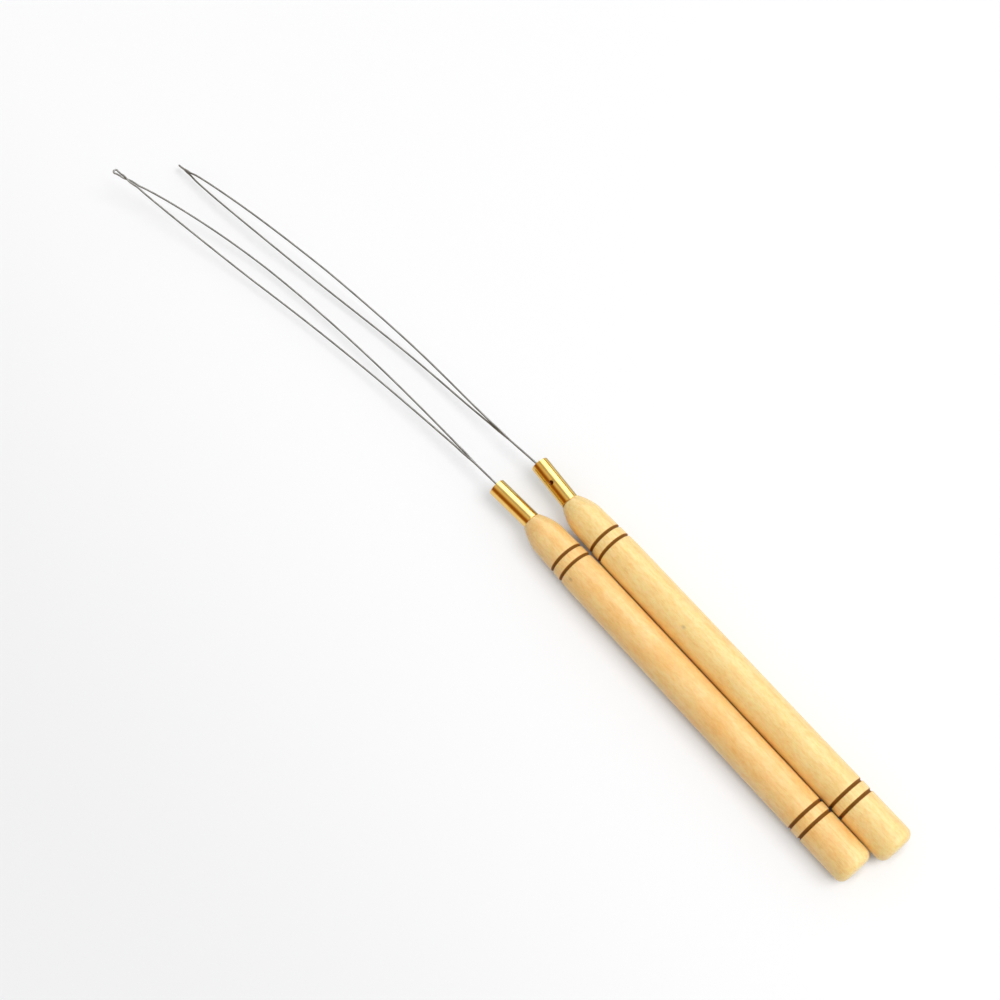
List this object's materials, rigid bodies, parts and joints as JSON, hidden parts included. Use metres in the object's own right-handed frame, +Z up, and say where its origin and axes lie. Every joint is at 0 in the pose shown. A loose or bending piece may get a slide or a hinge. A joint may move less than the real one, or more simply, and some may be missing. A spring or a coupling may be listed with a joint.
{
  "type": "hair extension pulling hook",
  "caption": "Pair of loop pulling hooks lying side by side, each with a turned wooden handle, a brass ferrule and a long doubled wire loop ending in a tiny eye.",
  "frame": {"origin": "middle of the pair's box, on the surface that the two handles rest on", "axes": "+X from the butts to the wire tips, +Y to the left seen from the butts, +Z up"},
  "size_m": [0.2926, 0.0386, 0.0129],
  "materials": {
    "wood": "satin lacquered pale hardwood with burnt grooves",
    "brass": "polished drawn brass tube",
    "resin": "hardened amber resin",
    "steel_wire": "bare drawn spring wire"
  },
  "bodies": {
    "left_tool": {"left_handle": "wood", "left_ferrule": "brass", "left_mouth_plug": "resin", "left_wire_loop": "steel_wire"},
    "right_tool": {"right_handle": "wood", "right_ferrule": "brass", "right_mouth_plug": "resin", "right_wire_loop": "steel_wire"}
  },
  "joints": [
    {"name": "right_tool_lift", "type": "slide", "parent": "left_tool", "child": "right_tool", "axis": [0, 0, 1], "range_m": [0, 0.06]}
  ]
}
